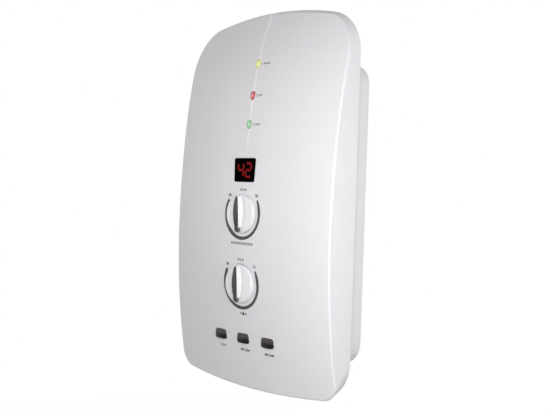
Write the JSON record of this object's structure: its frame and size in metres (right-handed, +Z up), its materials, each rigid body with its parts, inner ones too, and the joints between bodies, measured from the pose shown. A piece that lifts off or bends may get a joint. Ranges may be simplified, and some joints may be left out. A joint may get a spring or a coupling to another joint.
{
  "type": "electric instantaneous water heater",
  "caption": "Wall-hung electric instantaneous water heater with a bulged plastic cover, digital display, rotary controls and push buttons.",
  "frame": {"origin": "on the wall plane, at the cover's mid width and 200 mm below its top, on the rear housing's back face", "axes": "+X to the right seen from the front, -Y out of the wall towards the user, +Z up"},
  "size_m": [0.241, 0.0728, 0.4013],
  "materials": {
    "cover_white": "satin moulded ABS",
    "housing_white": "satin moulded ABS",
    "accent_pearl": "pearl trim",
    "window_black": "dark tinted acrylic",
    "lens_yellow": "coloured lens",
    "lens_red": "coloured lens",
    "lens_green": "coloured lens",
    "knob_white": "glossy ABS",
    "inlay_dark": "glossy inlay",
    "button_dark": "glossy ABS",
    "rubber_black": "matt",
    "screw_steel": "zinc plated",
    "element_steel": "stainless sheath",
    "brass": "turned",
    "copper": "drawn tube",
    "ceramic_white": "ground ceramic",
    "strainer_white": "moulded",
    "tank_nylon": "glass-filled nylon",
    "module_black": "moulded",
    "module_grey": "moulded",
    "board_green": "solder mask",
    "wire_brown": "insulated wire",
    "aluminium": "extruded"
  },
  "bodies": {
    "heater": {"accent_strip": "accent_pearl", "board_screws": "screw_steel", "button_board": "board_green", "button_switches": "module_black", "cable_grommet": "rubber_black", "control_board": "board_green", "control_components": "module_black", "cover_screws": "screw_steel", "cover_seal": "rubber_black", "display_module": "module_black", "display_window": "window_black", "element_terminals": "brass", "flow_pickup": "module_black", "flow_sensor_body": "module_black", "front_cover": "cover_white", "gland_nut": "brass", "heat_sink": "aluminium", "heating_elements": "element_steel", "heating_tank": "tank_nylon", "indicator_board": "board_green", "indicator_lights": "strainer_white", "inlet_pipe": "copper", "inlet_strainer": "strainer_white", "inlet_stub": "brass", "internal_wires": "wire_brown", "leakage_breaker": "module_grey", "led_lens_green": "lens_green", "led_lens_red": "lens_red", "led_lens_yellow": "lens_yellow", "outlet_pipe": "copper", "outlet_stub": "brass", "potentiometer_body": "module_black", "power_switch": "module_black", "rear_housing": "housing_white", "relief_valve": "brass", "stand_pipe": "copper", "stub_nuts": "brass", "stub_washers": "rubber_black", "tank_feed_pipe": "copper", "tank_gasket": "rubber_black", "tank_lid": "brass", "tank_screws": "screw_steel", "tank_straps": "screw_steel", "temperature_sensor": "brass", "terminal_block": "module_grey", "thermal_cutout": "module_black", "valve_body": "brass", "valve_seat": "ceramic_white"},
    "temperature_dial": {"temperature_knob": "knob_white", "temperature_knob_inlay": "inlay_dark", "potentiometer_shaft": "screw_steel"},
    "flow_dial": {"flow_knob": "knob_white", "flow_knob_inlay": "inlay_dark", "valve_spindle": "brass", "valve_disc": "ceramic_white", "spindle_seal": "rubber_black"},
    "push_left": {"button_left": "button_dark"},
    "push_middle": {"button_middle": "button_dark"},
    "push_right": {"button_right": "button_dark"},
    "turbine": {"flow_turbine": "strainer_white"}
  },
  "joints": [
    {"name": "temperature_turn", "type": "hinge", "parent": "heater", "child": "temperature_dial", "pos_m": [0, -0.055, -0.0152], "axis": [0, 1, 0], "range_deg": [0, 315]},
    {"name": "flow_turn", "type": "hinge", "parent": "heater", "child": "flow_dial", "pos_m": [0, -0.045, -0.0884], "axis": [0, 1, 0], "range_deg": [0, 315]},
    {"name": "press_left", "type": "slide", "parent": "heater", "child": "push_left", "axis": [0, 1, 0], "range_m": [0, 0.0015], "stiffness_N_per_m": 600, "springref_m": -0.0015},
    {"name": "press_middle", "type": "slide", "parent": "heater", "child": "push_middle", "axis": [0, 1, 0], "range_m": [0, 0.0015], "stiffness_N_per_m": 600, "springref_m": -0.0015},
    {"name": "press_right", "type": "slide", "parent": "heater", "child": "push_right", "axis": [0, 1, 0], "range_m": [0, 0.0015], "stiffness_N_per_m": 600, "springref_m": -0.0015},
    {"name": "turbine_spin", "type": "hinge", "parent": "heater", "child": "turbine", "pos_m": [-0.034, -0.024, -0.0884], "axis": [1, 0, 0], "continuous": true}
  ]
}
